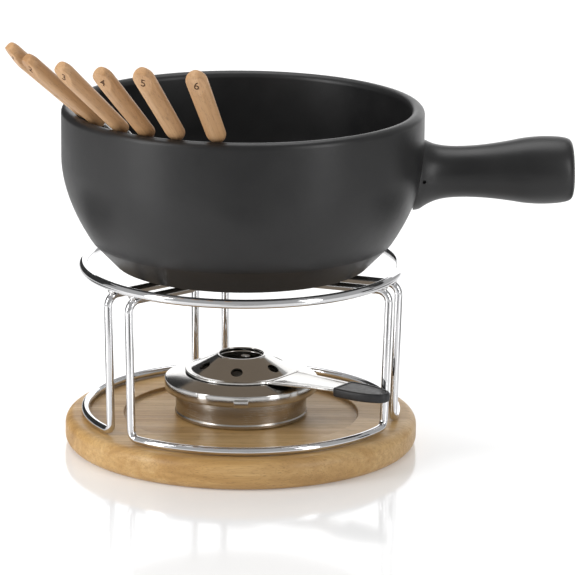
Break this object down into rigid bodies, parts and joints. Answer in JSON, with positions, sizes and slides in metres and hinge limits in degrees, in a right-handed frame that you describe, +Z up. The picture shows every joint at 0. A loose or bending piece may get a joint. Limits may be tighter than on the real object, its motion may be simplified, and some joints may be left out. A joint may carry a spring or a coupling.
{
  "type": "fondue pot set",
  "caption": "Stoneware fondue pot with a side handle on a bent-wire stand and round wooden board, over a paste burner with a turning air regulator, with dipping forks.",
  "frame": {"origin": "centre of the wooden board's underside, on the table", "axes": "+Z up, +X along the pot's handle, -Y towards the front"},
  "size_m": [0.3412, 0.2678, 0.2634],
  "materials": {
    "board_beech": "oiled satin",
    "fork_beech": "oiled satin",
    "stand_chrome": "mirror",
    "burner_chrome": "polished",
    "cup_steel": "brushed",
    "fork_steel": "satin",
    "gauze_steel": "woven",
    "black_glaze": "satin",
    "black_plastic": "fine grain",
    "wadding": "felted"
  },
  "bodies": {
    "board": {"wooden_board": "board_beech"},
    "stand": {"stand_ring": "stand_chrome", "stand_wire_front": "stand_chrome", "stand_wire_back": "stand_chrome", "stand_wire_left": "stand_chrome"},
    "pot": {"pot_body": "black_glaze", "pot_handle": "black_glaze"},
    "fork_1": {"fork_1_handle": "fork_beech", "fork_1_prongs": "fork_steel"},
    "fork_2": {"fork_2_handle": "fork_beech", "fork_2_prongs": "fork_steel"},
    "fork_3": {"fork_3_handle": "fork_beech", "fork_3_prongs": "fork_steel"},
    "fork_4": {"fork_4_handle": "fork_beech", "fork_4_prongs": "fork_steel"},
    "fork_5": {"fork_5_handle": "fork_beech", "fork_5_prongs": "fork_steel"},
    "fork_6": {"fork_6_handle": "fork_beech", "fork_6_prongs": "fork_steel"},
    "burner": {"burner_cup": "cup_steel", "burner_wadding": "wadding", "burner_gauze": "gauze_steel"},
    "cap": {"burner_cap": "burner_chrome", "cap_lug": "burner_chrome"},
    "regulator": {"burner_regulator": "burner_chrome", "regulator_grip": "black_plastic"}
  },
  "joints": [
    {"name": "stand_lift", "type": "slide", "parent": "board", "child": "stand", "axis": [0, 0, 1], "range_m": [0, 0.012]},
    {"name": "pot_lift", "type": "slide", "parent": "stand", "child": "pot", "axis": [0, 0, 1], "range_m": [0, 0.12]},
    {"name": "burner_draw", "type": "slide", "parent": "board", "child": "burner", "axis": [0, -0.9848, 0.1736], "range_m": [0, 0.28]},
    {"name": "cap_lift", "type": "slide", "parent": "burner", "child": "cap", "axis": [0, 0, 1], "range_m": [0, 0.035]},
    {"name": "regulator_turn", "type": "hinge", "parent": "cap", "child": "regulator", "pos_m": [0, 0.00625, 0.043], "axis": [0, 0, 1], "range_deg": [-30, 0]},
    {"name": "fork_1_draw", "type": "slide", "parent": "pot", "child": "fork_1", "axis": [-0.5582, -0.5485, 0.6225], "range_m": [0, 0.17]},
    {"name": "fork_2_draw", "type": "slide", "parent": "pot", "child": "fork_2", "axis": [-0.5424, -0.5716, 0.6157], "range_m": [0, 0.17]},
    {"name": "fork_3_draw", "type": "slide", "parent": "pot", "child": "fork_3", "axis": [-0.4576, -0.6415, 0.6157], "range_m": [0, 0.17]},
    {"name": "fork_4_draw", "type": "slide", "parent": "pot", "child": "fork_4", "axis": [-0.3492, -0.7004, 0.6225], "range_m": [0, 0.17]},
    {"name": "fork_5_draw", "type": "slide", "parent": "pot", "child": "fork_5", "axis": [-0.2639, -0.7251, 0.6361], "range_m": [0, 0.17]},
    {"name": "fork_6_draw", "type": "slide", "parent": "pot", "child": "fork_6", "axis": [-0.167, -0.7533, 0.6361], "range_m": [0, 0.17]}
  ]
}
